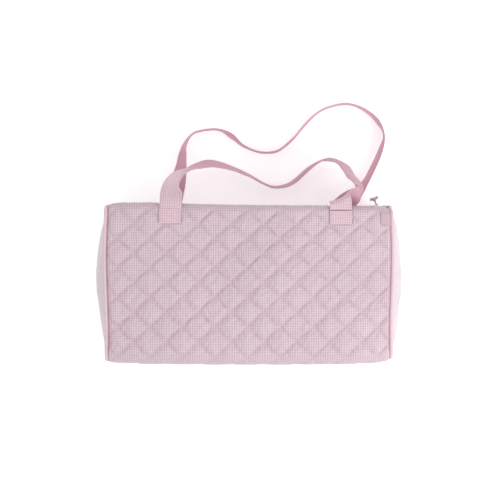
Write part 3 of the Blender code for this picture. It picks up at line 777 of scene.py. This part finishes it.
# where the front band curls under itself before its right foot: place, across
FRONT_CURL = (
    ((0.1757, 0.1550, 0.1220), (0.48, -0.70, -0.53)),
    ((0.1752, 0.1460, 0.1330), (0.22, -0.82, -0.52)),
    ((0.1712, 0.1415, 0.1430), (-0.18, -0.83, -0.52)),
    ((0.1620, 0.1408, 0.1500), (-0.38, -0.66, -0.65)),
    ((0.1530, 0.1398, 0.1570), (-0.48, -0.62, -0.62)),
    ((0.1465, 0.1372, 0.1690), (-0.72, -0.42, -0.55)),
    ((0.1435, 0.1335, 0.1770), (-0.91, -0.18, -0.36)),
    ((0.1440, 0.1270, 0.1798), (-1.00, 0.00, 0.00)),
    ((0.1440, 0.1172, 0.1796), (-1.00, 0.00, 0.00)))
BACK_ROUTE = (
    (-0.1370, 0.1234, 0.0010, 180), (-0.1360, 0.1360, 0.0012, 180),
    (-0.1335, 0.1500, 0.0030, 174), (-0.1285, 0.1660, 0.0094, 152),
    (-0.1222, 0.1819, 0.0150, 128), (-0.1185, 0.1989, 0.0169, 116),
    (-0.1160, 0.2178, 0.0179, 107), (-0.1115, 0.2366, 0.0185, 94),
    (-0.0985, 0.2539, 0.0185, 87), (-0.0777, 0.2603, 0.0185, 88),
    (-0.0536, 0.2608, 0.0185, 89), (-0.0328, 0.2505, 0.0184, 98),
    (-0.0121, 0.2332, 0.0185, 91), (0.0104, 0.2237, 0.0185, 88),
    (0.0311, 0.2211, 0.0185, 88), (0.0518, 0.2263, 0.0185, 90),
    (0.0743, 0.2453, 0.0185, 91), (0.0985, 0.2729, 0.0185, 91),
    (0.1209, 0.2928, 0.0185, 89), (0.1520, 0.3040, 0.0185, 87),
    (0.1797, 0.3031, 0.0185, 86), (0.2021, 0.2919, 0.0185, 89),
    (0.2194, 0.2764, 0.0185, 91), (0.2306, 0.2556, 0.0185, 85),
    (0.2280, 0.2349, 0.0185, 95), (0.2177, 0.2090, 0.0184, 100),
    (0.2060, 0.1832, 0.0180, 102), (0.1955, 0.1655, 0.0172, 108),
    (0.1850, 0.1520, 0.0150, 122), (0.1740, 0.1415, 0.0085, 152),
    (0.1645, 0.1330, 0.0016, 178), (0.1580, 0.1275, 0.0010, 180),
    (0.1560, 0.1234, 0.0010, 180))


# half of a band's cross section: shares of its half width and half thickness
STRAP_SECTION = ((1.0, 0.35), (0.97, 0.8), (0.90, 1.0), (0.83, 0.72), (0.76, 1.0),
                 (0.6, 1.05), (0.4, 1.08), (0.2, 1.1), (0.0, 1.1))


def through(points, step):
    """Catmull-Rom curve through the points, at even steps along it."""
    points = np.asarray(points, float)
    padded_points = np.vstack([2 * points[0] - points[1], points, 2 * points[-1] - points[-2]])
    fine = []
    for a, b, c, d in zip(padded_points, padded_points[1:], padded_points[2:], padded_points[3:]):
        for t in np.linspace(0, 1, 24, endpoint=False):
            fine.append(0.5 * (2 * b + (c - a) * t + (2 * a - 5 * b + 4 * c - d) * t * t
                               + (3 * b - a - 3 * c + d) * t ** 3))
    fine = np.array(fine + [points[-1]])
    away = np.concatenate([[0], np.cumsum(np.linalg.norm(np.diff(fine[:, :3], axis=0), axis=1))])
    even = np.linspace(0, away[-1], int(away[-1] / step) + 1)
    columns = [np.interp(even, away, fine[:, axis]) for axis in range(fine.shape[1])]
    return np.stack(columns, -1), even


def rolled(route):
    """Each point of a route with its across direction, from its roll in degrees."""
    route = np.asarray(route, float)
    along = unit(np.gradient(route[:, :3], axis=0))
    side = unit(np.cross(along, (0.0, 0.0, 1.0)))
    over = np.cross(side, along)
    roll = np.radians(route[:, 3:])
    return np.hstack([route[:, :3], side * np.cos(roll) + over * np.sin(roll)])


def strap_band(name, frames):
    """Flat sewn band: gingham face, plain rose reverse, a groove at each row."""
    line, length = through(frames, 0.0020)
    centre = line[:, :3]
    along = np.gradient(centre, axis=0)
    along[0] = (0.0, 1.0, 0.0)
    along[-1] = (0.0, -1.0, 0.0)
    along = unit(along)
    across = line[:, 3:] - along * np.sum(line[:, 3:] * along, axis=1)[:, None]
    across = unit(across)
    face = np.cross(across, along)
    share, plump = np.array(STRAP_SECTION).T
    share = np.concatenate([-share, share[-2::-1]])
    half_thick = STRAP_THICK / 2 * np.concatenate([plump, plump[-2::-1]])
    where = np.stack(np.meshgrid(length, share * STRAP_WIDE / 2, indexing="ij"), -1)
    free = smooth(np.minimum(length, length[-1] - length), 0.0, 0.02)[:, None]
    flutter = 0.0007 * ripple(where, 0.022, 8.0) * free
    cup = 0.0008 * (share ** 2 - 0.4)[None, :] * free
    middle = (centre[:, None] + across[:, None] * (share * STRAP_WIDE / 2)[None, :, None]
              + face[:, None] * (flutter + cup)[..., None])
    top = middle + face[:, None] * half_thick[None, :, None]
    under = middle - face[:, None] * half_thick[None, :, None]
    maps = {"Cloth": np.stack([where[..., 1] + STRAP_WIDE / 2, where[..., 0]], -1)}
    piece = closed_sheet(name, top, under, maps,
                         [FINISH["strap gingham"], FINISH["strap rose"]])
    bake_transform(piece)
    return piece


def strap_foot(name, node_name, up):
    """The sewn end of a strap, turned under and stitched in a box with a cross."""
    low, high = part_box(node_name)
    x, y = np.meshgrid(np.linspace(low[0], high[0], 36),
                       np.linspace(low[1] - 0.0015, high[1], 26))
    half_wide, half_long = (high[0] - low[0]) / 2, (high[1] - low[1]) / 2
    mid_x, mid_y = (low[0] + high[0]) / 2, (low[1] + high[1]) / 2
    in_y = np.minimum(y - low[1] + 0.0015, high[1] - y + 0.004)
    edge = np.minimum(half_wide - np.abs(x - mid_x), in_y)
    sewn = np.exp(-((edge - 0.003) / 0.0007) ** 2)
    dx, dy = (x - mid_x) / (half_wide - 0.003), (y - mid_y) / (half_long - 0.003)
    cross = np.exp(-((np.abs(dx) - np.abs(dy)) * 0.012 / 0.0007) ** 2) * (edge > 0.003)
    swell = 0.0007 * smooth(edge, 0.0, 0.002) - 0.0007 * np.maximum(sewn, cross)
    face_z = high[2] if up > 0 else low[2]
    back_z = low[2] if up > 0 else high[2]
    top = np.stack([x, y, face_z + up * (swell - 0.0003)], -1)
    under = np.stack([x, y, np.full_like(x, back_z)], -1)
    if up > 0:
        top, under = slump(top), slump(under)
    else:
        top[..., 2] = np.maximum(top[..., 2], 0.0)
    maps = {"Cloth": np.stack([x - low[0], y - low[1]], -1)}
    piece = closed_sheet(name, top, under, maps,
                         [FINISH["strap gingham"], FINISH["strap rose"]])
    dress(piece, "shell", node_name)


def make_straps():
    curl = np.array([[*place, *across] for place, across in FRONT_CURL])
    front = np.vstack([rolled(FRONT_ROUTE), curl])
    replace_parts(strap_band("front_handle_band", front), "front_strap")
    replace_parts(strap_band("back_handle_band", rolled(BACK_ROUTE)), "back_strap")
    for side in ("left", "right"):
        strap_foot("front_foot_" + side, "front_strap_end_" + side, 1)
        strap_foot("back_foot_" + side, "back_strap_end_" + side, -1)


# ---- zip -------------------------------------------------------------------
def ease_to_flap(piece):
    """Bakes the piece's place into its mesh."""
    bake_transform(piece)


def placket_cloth(x, z, t, reach, low_y, high_y):
    """Outer and inner y of doubled cloth with rolled edges and two sewn rows."""
    edge = np.minimum(t, 1 - t) * reach
    rows = sum(np.exp(-((t * reach - row) / 0.0008) ** 2) for row in PLACKET_ROWS)
    roll = 0.0012 * (1 - smooth(edge, 0.0, 0.0022))
    wave = 0.0004 * ripple(np.stack([x, z], -1), 0.018, 11.0)
    return high_y - roll - 0.0004 * rows + wave * smooth(edge, 0, 0.01), low_y + 0.9 * roll


def tape_cloth(x, z, _t, _reach, low_y, high_y):
    """Outer and inner y of the thin woven tape, a little wavy."""
    wave = 0.00015 * ripple(np.stack([x, z], -1), 0.012, 12.0)
    return high_y + wave, low_y + wave


def strip_halves(node_name, label, finish, shape):
    """A strip beside the zip in two halves."""
    low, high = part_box(node_name)
    inner_z, outer_z = (low[2], high[2]) if low[2] > MID_Z else (high[2], low[2])
    reach = abs(outer_z - inner_z)
    for half, start, end in (("left", low[0], 0.0), ("right", 0.0, high[0])):
        x, t = np.meshgrid(np.linspace(start, end, 120), np.linspace(0, 1, 16))
        z = inner_z + (outer_z - inner_z) * t
        outer, inner = (slump(np.stack([x, y, z], -1))
                        for y in shape(x, z, t, reach, low[1], high[1]))
        piece = closed_sheet(label + "_" + half, outer, inner,
                             {"Cloth": np.stack([t * reach, x], -1)}, [finish])
        ease_to_flap(piece)
        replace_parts(piece, node_name)


def make_zip_cloth():
    for side, body in (("front", "front_flap"), ("back", "back_flap")):
        strip_halves("zip_placket_" + side, "placket_" + side,
                     FINISH["placket gingham"], placket_cloth)
        strip_halves("zip_tape_" + side, "tape_" + side,
                     FINISH["zip tape"], tape_cloth)


def one_tooth():
    """One turn of the coil: a short bent bar with rounded shoulders."""
    deselect()
    bpy.ops.mesh.primitive_cube_add(size=1)
    tooth = bpy.context.object
    tooth.scale = (0.00085, 0.0022, 0.0030)
    bpy.ops.object.transform_apply(location=False, rotation=False, scale=True)
    bevel = tooth.modifiers.new("round", "BEVEL")
    bevel.width, bevel.segments, bevel.limit_method = 0.0004, 2, "NONE"
    bpy.ops.object.modifier_apply(modifier="round")
    points = np.zeros(len(tooth.data.vertices) * 3, np.float32)
    tooth.data.vertices.foreach_get("co", points)
    faces = [tuple(face.vertices) for face in tooth.data.polygons]
    bpy.data.objects.remove(tooth)
    return points.reshape(-1, 3), faces


def make_coils():
    points, faces = one_tooth()
    for side, toward, body in (("front", 1, "front_flap"), ("back", -1, "back_flap")):
        low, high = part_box("zip_coil_" + side)
        middle = ((low[1] + high[1]) / 2, MID_Z + toward * 0.0011)
        starts = np.arange(low[0] + 0.0008, high[0] - 0.0006, ZIP_PITCH)
        if toward < 0:
            starts = starts + ZIP_PITCH / 2
        for half, chosen in (("left", starts[starts < 0]), ("right", starts[starts >= 0])):
            teeth = np.concatenate([points + np.array([x, *middle]) for x in chosen])
            all_faces = [tuple(i + number * len(points) for i in face)
                         for number in range(len(chosen)) for face in faces]
            piece = shade(mesh_piece("coil_%s_%s" % (side, half), teeth, all_faces, {},
                                     [FINISH["coil nylon"]]), 40)
            ease_to_flap(piece)
            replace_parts(piece, "zip_coil_" + side)


def box_start(name, low, high, finish, bevel, segments=3):
    """A block from low to high with rounded edges, ready for more shaping."""
    deselect()
    low, high = Vector(low), Vector(high)
    bpy.ops.mesh.primitive_cube_add(size=1, location=(low + high) / 2)
    piece = bpy.context.object
    piece.name = piece.data.name = name
    piece.scale = high - low
    bpy.ops.object.transform_apply(location=True, rotation=False, scale=True)
    piece.data.materials.append(finish)
    if bevel:
        rounding = piece.modifiers.new("round", "BEVEL")
        rounding.width, rounding.segments, rounding.limit_method = bevel, segments, "NONE"
    return piece


def make_slider():
    """Two plates on a wedge, with an arch that carries the pull."""
    low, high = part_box("zip_slider")
    deck = low[1] + 0.0014
    mid_x, mid_z = (low[0] + high[0]) / 2, (low[2] + high[2]) / 2
    plate = box_start("slider_body", (low[0], low[1], low[2]), (high[0], deck, high[2]),
                      FINISH["satin nickel"], 0)
    pick(plate)
    bpy.ops.object.mode_set(mode="EDIT")
    bpy.ops.mesh.select_all(action="SELECT")
    bpy.ops.mesh.subdivide(number_cuts=3)
    bpy.ops.object.mode_set(mode="OBJECT")
    for vertex in plate.data.vertices:
        share = (vertex.co.x - mid_x) / (high[0] - mid_x)
        if share < 0:
            narrow = 0.68 + 0.32 * (1 - (-share) ** 1.5)
        else:
            narrow = 1 - 0.12 * share ** 3
        vertex.co.z = mid_z + (vertex.co.z - mid_z) * narrow
    rounding = plate.modifiers.new("round", "BEVEL")
    rounding.width, rounding.segments = 0.0005, 3
    settle(plate)
    half_arch = ((0.0040, deck - 0.0003), (0.0040, deck + 0.0016), (0.0030, high[1] - 0.0008))
    arch_line = [(mid_x - off, y, mid_z) for off, y in half_arch]
    arch_line += [(mid_x, high[1] - 0.0005, mid_z)]
    arch_line += [(mid_x + off, y, mid_z) for off, y in reversed(half_arch)]
    fine, _ = through([(*point, 0) for point in arch_line], 0.0004)
    arch = tube("slider_arch", fine[:, :3], 0.00055, FINISH["satin nickel"], sides=10)
    dress(shade(plate, 35), "slider", "zip_slider")
    dress(arch, "slider")


def make_pull():
    """Cloth ribbon knotted through the little loop, its tails spread like a bow."""
    low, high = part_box("zip_pull_ribbon")
    pivot = Vector((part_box("zip_slider")[0][0] + 0.006, 0.1278, MID_Z))
    middle = Vector(((low[0] + high[0]) / 2, (low[1] + high[1]) / 2 - 0.0015, MID_Z))
    lean = Matrix.Rotation(math.radians(22), 4, "Z")
    deselect()
    bpy.ops.mesh.primitive_uv_sphere_add(segments=28, ring_count=18, radius=1)
    knot = bpy.context.object
    knot.name = knot.data.name = "ribbon_knot"
    knot.scale = (0.0036, 0.0034, 0.0036)
    bpy.ops.object.transform_apply(location=False, rotation=False, scale=True)
    for vertex in knot.data.vertices:
        turn = math.atan2(vertex.co.z, vertex.co.y)
        vertex.co *= 1.0 + 0.09 * math.sin(turn * 2 + vertex.co.x * 900) \
            + 0.05 * math.sin(vertex.co.x * 2600 + 1.0)
    knot.data.transform(Matrix.Translation(middle) @ lean)
    cloth_map(knot.data, "Cloth", [(v.co.x, v.co.z) for v in knot.data.vertices])
    knot.data.materials.append(FINISH["ribbon"])
    dress(shade(knot, 60), "pull", "zip_pull_ribbon")
    for label, sign in SIDES:
        t, w = np.meshgrid(np.linspace(0, 1, 26), np.linspace(-1, 1, 12))
        reach = t * 0.0068 * (1 + 0.10 * sign * w)
        wide = 0.0017 + 0.0010 * smooth(t, 0.0, 0.7)
        bend = 0.0012 * np.sin(t * 2.6) - 0.0030 * t * t * (0.2 if sign > 0 else -0.15)
        cup = 0.0006 * w * w * t
        local = np.stack([sign * reach, bend + cup + 0.80 * w * wide, 0.6 * w * wide], -1)
        thick = np.array([0.0, 0.00030, -0.00040])
        turned = [np.array([list(middle + lean @ Vector(p)) for p in
                            (local + part * thick).reshape(-1, 3)]).reshape(*local.shape)
                  for part in (1, -1)]
        tail = closed_sheet("ribbon_tail_" + label, turned[0], turned[1],
                            {"Cloth": np.stack([t * 0.009, w * 0.004], -1)}, [FINISH["ribbon"]])
        dress(tail, "pull")
    stem = [(*pivot.lerp(middle, share), 0) for share in (0.25, 0.6, 1.0)]
    fine, _ = through(stem, 0.0008)
    thick = np.linspace(0.0011, 0.0019, len(fine))
    for label, off in (("a", -0.0014), ("b", 0.0014)):
        strand = tube("ribbon_strand_" + label, fine[:, :3] + np.array([0, 0, off]), thick,
                      FINISH["ribbon"], sides=10)
        dress(strand, "pull")


def patch(name, node_name, grow=(0, 0, 0, 0)):
    """A small turned-under cloth patch, stitched round its edge."""
    low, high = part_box(node_name)
    flat_axis = int(np.argmin([h - l for h, l in zip(high, low)]))
    first, second = [axis for axis in range(3) if axis != flat_axis]
    a, b = np.meshgrid(np.linspace(low[first] - grow[0], high[first] + grow[1], 30),
                       np.linspace(low[second] - grow[2], high[second] + grow[3], 30))
    edge = np.minimum(np.minimum(a - a.min(), a.max() - a), np.minimum(b - b.min(), b.max() - b))
    swell = 0.0006 * smooth(edge, 0, 0.0015) - 0.0005 * np.exp(-((edge - 0.002) / 0.0006) ** 2)
    top = np.zeros((*a.shape, 3))
    top[..., first], top[..., second] = a, b
    under = top.copy()
    top[..., flat_axis] = high[flat_axis] - 0.0004 + swell
    under[..., flat_axis] = low[flat_axis] + 0.0001
    maps = {"Cloth": np.stack([a - a.min(), b - b.min()], -1)}
    piece = closed_sheet(name, slump(top), slump(under), maps, [FINISH["tab cloth"]])
    dress(piece, "shell", node_name)


def make_zip():
    make_zip_cloth()
    make_coils()
    make_slider()
    make_pull()
    patch("zip_end_patch_left", "zip_end_tab_left")
    patch("zip_end_patch_right", "zip_end_tab_right")
    patch("corner_patch_cloth", "corner_patch", (0, 0.0005, 0.0, 0.003))
    for label in ("zip_top_stop_front", "zip_top_stop_back", "zip_bottom_stop", "zip_pull_tab"):
        bpy.data.objects[label].data.materials.clear()
        bpy.data.objects[label].data.materials.append(FINISH["satin nickel"])


# ---- inside ----------------------------------------------------------------
def make_lining():
    """Loose lining cloths, a little rippled, just inside the quilting."""
    for side in ("front", "base", "back"):
        low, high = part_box("lining_" + side)
        begin, finish_s = {"front": (S_START, FRONT_END), "base": (FRONT_END, BASE_END),
                           "back": (BASE_END, BACK_END)}[side]
        x, s = np.meshgrid(np.linspace(low[0] + 0.0002, high[0] - 0.0002, 110),
                           np.linspace(begin + 0.0015, finish_s - 0.0015, 70))
        y, z, out_y, out_z = loop_at(s)
        loose = 0.0002 * (1 + ripple(np.stack([x, s], -1), 0.03, 21.0))
        def at(depth):
            return np.stack([x, y - out_y * depth, z - out_z * depth], -1)
        piece = closed_sheet("lining_cloth_" + side, slump(at(QUILT + 0.0003 + loose)),
                             slump(at(QUILT + 0.0011 + loose)),
                             {"Cloth": np.stack([x, s], -1)}, [FINISH["lining cloth"]])
        dress_inside(piece, "lining_" + side)
    for side, sign in SIDES:
        low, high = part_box("lining_end_" + side)
        u, v = np.meshgrid(np.linspace(-1, 1, 60), np.linspace(-1, 1, 44))
        y, z, rim = rounded_end(u, v, 0.0072)
        face = low[0] if sign > 0 else high[0]
        loose = 0.0002 * ripple(np.stack([y, z], -1), 0.03, 22.0)
        outer = np.stack([np.full_like(y, face + sign * 0.0009) + loose, y, z], -1)
        inner = np.stack([np.full_like(y, face + sign * 0.0001) + loose, y, z], -1)
        piece = closed_sheet("lining_cloth_end_" + side, slump(outer), slump(inner),
                             {"Cloth": np.stack([y, z], -1)}, [FINISH["lining cloth"]])
        dress_inside(piece, "lining_end_" + side)


def dress_inside(piece, node_name):
    dress(piece, "shell", node_name)


def make_binding(side, sign):
    """Bias tape folded over the raw seam at each end, open at the zip."""
    low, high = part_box("seam_binding_" + side)
    line, away = girth_line(HALF_Y - high[1] + 0.0010, 0.0030)
    kept = ~((line[:, 0] > high[1] - 0.004) & (np.abs(line[:, 1] - MID_Z) < MID_Z - 0.014))
    first = int(np.argmax(kept))
    last = len(kept) - int(np.argmax(kept[::-1]))
    line, away = line[first:last], away[first:last]
    share = np.linspace(0, 1, 10)
    x = low[0] + 0.0006 + (high[0] - low[0] - 0.0012) * share
    turn = unit(np.gradient(line, axis=0))
    inward = np.stack([-turn[:, 1], turn[:, 0]], -1)
    bulge = 0.0003 + 0.0005 * np.sin(np.pi * share)
    def at(sign_out):
        spot = line[:, None] + inward[:, None] * (0.0004 + sign_out * bulge)[None, :, None]
        return np.concatenate([np.broadcast_to(x[None, :, None], (*spot.shape[:2], 1)), spot], -1)
    maps = np.stack(np.broadcast_arrays((share * 0.008)[None, :], away[:, None]), -1)
    piece = closed_sheet("binding_tape_" + side, slump(at(1)), slump(at(-1)), {"Cloth": maps},
                         [FINISH["binding cloth"]])
    dress_inside(piece, "seam_binding_" + side)


def make_pocket():
    """Gathered pocket on the back lining, its top edge drawn in by elastic."""
    low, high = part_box("inner_pocket")
    x, y = np.meshgrid(np.linspace(low[0], high[0], 130), np.linspace(low[1], high[1], 60))
    across, up = (x - low[0]) / (high[0] - low[0]), (y - low[1]) / (high[1] - low[1])
    edge = np.minimum(np.minimum(across, 1 - across) * 0.24, up * 0.125)
    belly = smooth(edge, 0.0, 0.016)
    gathers = 0.0007 * np.sin(across * 2 * np.pi * 22 + 1.5 * np.sin(up * 5)) * up ** 2
    z = low[2] + 0.0016 + (high[2] - low[2] - 0.0030) * belly * (0.55 + 0.45 * up) + gathers * belly
    outer = np.stack([x, y, z], -1)
    inner = np.stack([x, y, np.maximum(z - 0.0012, low[2] + 0.0001)], -1)
    piece = closed_sheet("pocket_cloth", outer, inner, {"Cloth": np.stack([x, y], -1)},
                         [FINISH["lining cloth"]])
    dress_inside(piece, "inner_pocket")
    low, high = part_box("pocket_elastic")
    x, y = np.meshgrid(np.linspace(low[0], high[0], 150), np.linspace(low[1], high[1], 10))
    rib = 0.00025 * np.sin((x - low[0]) / 0.0055 * 2 * np.pi)
    outer = np.stack([x, y, high[2] - 0.0002 + rib], -1)
    inner = np.stack([x, y, low[2] + 0.0001 + rib * 0.3], -1)
    piece = closed_sheet("pocket_elastic_band", outer, inner, {"Cloth": np.stack([x, y], -1)},
                         [FINISH["elastic"]])
    dress_inside(piece, "pocket_elastic")


def make_board():
    low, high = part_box("base_board")
    board = settle(box_start("base_board_cover", low, high, FINISH["board cover"], 0.0010))
    cloth_map(board.data, "Cloth", [(v.co.x, v.co.z) for v in board.data.vertices])
    dress(shade(board, 40), "shell", "base_board")


def make_inside():
    make_lining()
    for side, sign in SIDES:
        make_binding(side, sign)
    make_pocket()
    make_board()


# ---- studio ----------------------------------------------------------------
def make_studio():
    deselect()
    bpy.ops.mesh.primitive_plane_add(size=40, location=(0, 0.05, -0.0010))
    table = settle(bpy.context.object)
    table.name = "studio_table"
    pale, tree, shader = blank_finish("studio white")
    grain = node(tree, "TexNoise", in_2=40.0)
    tone = mix(tree, grain.outputs[0], (0.93, 0.93, 0.93, 1), (0.96, 0.96, 0.96, 1))
    tree.links.new(tone, shader.inputs["Base Color"])
    shader.inputs["Roughness"].default_value = 0.9
    shader.inputs["Specular IOR Level"].default_value = 0.1
    shader.inputs["Emission Color"].default_value = (1, 1, 1, 1)
    shader.inputs["Emission Strength"].default_value = 0.35
    table.data.materials.append(pale)
    for name, spot, size, power in (
            ("window light", (0.95, -0.45, 1.10), 0.7, 8.4),
            ("fill light", (-1.6, 0.3, 2.0), 2.4, 6.5),
            ("top light", (0.4, 0.0, 3.4), 3.0, 24.0)):
        light = bpy.data.lights.new(name, "AREA")
        light.shape, light.size, light.energy = "SQUARE", size, power
        lamp = bpy.data.objects.new(name, light)
        bpy.context.scene.collection.objects.link(lamp)
        lamp.location = spot
        lamp.rotation_euler = (Vector((0, 0.05, 0.1)) - Vector(spot)).to_track_quat(
            "-Z", "Y").to_euler()
    world = bpy.data.worlds.new("studio air")
    bpy.context.scene.world = world
    world.use_nodes = True
    world.node_tree.nodes["Background"].inputs[0].default_value = (1.0, 1.0, 1.0, 1)
    world.node_tree.nodes["Background"].inputs[1].default_value = 0.55
    bpy.context.scene.view_settings.view_transform = "Standard"
    lens = bpy.data.cameras.new("studio camera")
    camera = bpy.data.objects.new("studio camera", lens)
    bpy.context.scene.collection.objects.link(camera)
    lens.sensor_width, lens.lens = 36.0, 81.66
    camera.location = (0.0, 0.0535, 1.978)
    bpy.context.scene.camera = camera


make_studio()
make_body()
make_ends()
make_straps()
make_zip()
make_inside()
